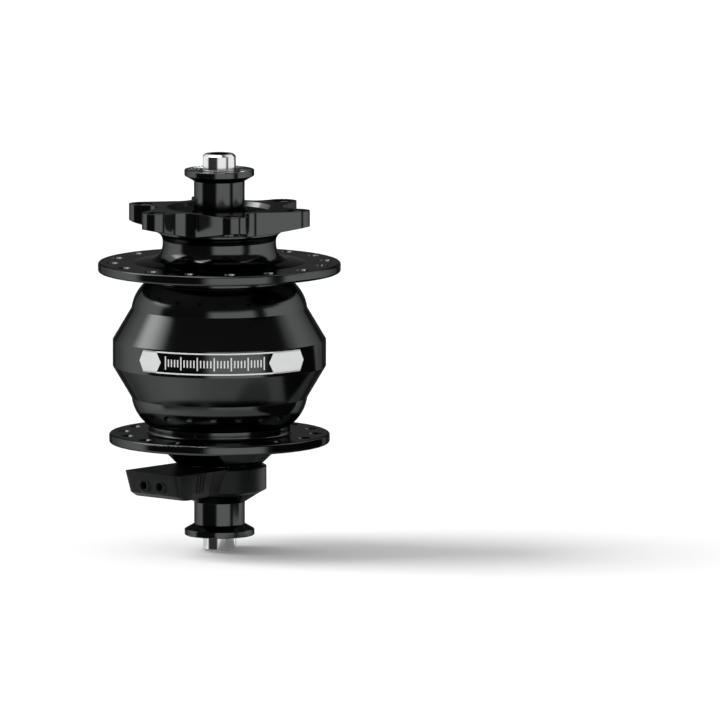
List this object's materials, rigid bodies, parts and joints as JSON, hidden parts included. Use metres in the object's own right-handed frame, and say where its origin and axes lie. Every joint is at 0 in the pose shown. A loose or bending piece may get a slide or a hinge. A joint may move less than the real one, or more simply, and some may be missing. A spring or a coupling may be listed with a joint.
{
  "type": "hub dynamo",
  "caption": "Quick-release bicycle front hub with a built-in dynamo: black turned drum, drilled spoke flanges, swept disc-brake mount, serrated end caps and a plug-in cable connector.",
  "frame": {"origin": "hub centre on the axle line, midway between the two locknut faces", "axes": "+Z along the axle to the disc-brake side, -X to the cable connector"},
  "size_m": [0.066, 0.066, 0.1086],
  "materials": {
    "black_anodised": "polished black anodised",
    "bright_steel": "bright turned",
    "connector_plastic": "moulded, fine grain",
    "contact_brass": "plain",
    "lead_insulation": "extruded",
    "electrical_steel": "pressed sheet",
    "bobbin_plastic": "moulded",
    "copper_wire": "enamelled",
    "bearing_steel": "ground",
    "seal_rubber": "moulded",
    "magnet_plating": "nickel plated",
    "cage_plastic": "moulded",
    "silver_print": "laser-etched mark"
  },
  "bodies": {
    "axle_set": {"axle": "bright_steel", "disc_end_cap": "black_anodised", "connector_end_cap": "black_anodised", "connector_housing": "connector_plastic", "connector_terminals": "contact_brass", "lead_wires": "lead_insulation", "connector_sleeve": "bright_steel", "stator_core": "electrical_steel", "claw_pole_disc_side": "electrical_steel", "claw_pole_connector_side": "electrical_steel", "coil_bobbin": "bobbin_plastic", "coil_winding": "copper_wire", "stator_spacer_disc_side": "bright_steel", "stator_spacer_connector_side": "bright_steel", "inner_race_disc_side": "bearing_steel", "inner_race_connector_side": "bearing_steel"},
    "hub": {"hub_shell": "black_anodised", "side_cover": "black_anodised", "cover_gasket": "seal_rubber", "magnet_yoke": "electrical_steel", "rotor_magnets": "magnet_plating", "outer_race_disc_side": "bearing_steel", "outer_race_connector_side": "bearing_steel", "bearing_seals_disc_side": "seal_rubber", "bearing_seals_connector_side": "seal_rubber", "bearing_clip": "bright_steel", "dust_seal_disc_side": "seal_rubber", "dust_seal_connector_side": "seal_rubber"},
    "disc_side_ball_set": {"balls_disc_side": "bearing_steel", "cage_disc_side": "cage_plastic"},
    "connector_side_ball_set": {"balls_connector_side": "bearing_steel", "cage_connector_side": "cage_plastic"},
    "plug": {"connector_plug": "connector_plastic"}
  },
  "joints": [
    {"name": "hub_spin", "type": "hinge", "parent": "axle_set", "child": "hub", "pos_m": [0, 0, 0], "axis": [0, 0, 1], "continuous": true},
    {"name": "disc_side_ball_roll", "type": "hinge", "parent": "axle_set", "child": "disc_side_ball_set", "pos_m": [0, 0, 0.0303], "axis": [0, 0, 1], "continuous": true},
    {"name": "connector_side_ball_roll", "type": "hinge", "parent": "axle_set", "child": "connector_side_ball_set", "pos_m": [0, 0, -0.0235], "axis": [0, 0, 1], "continuous": true},
    {"name": "plug_pull", "type": "slide", "parent": "axle_set", "child": "plug", "axis": [-1, 0, 0], "range_m": [0, 0.009]}
  ],
  "couplings": [
    {"joint": "disc_side_ball_roll", "follows": "hub_spin", "ratio": 0.59722},
    {"joint": "connector_side_ball_roll", "follows": "hub_spin", "ratio": 0.59722}
  ]
}
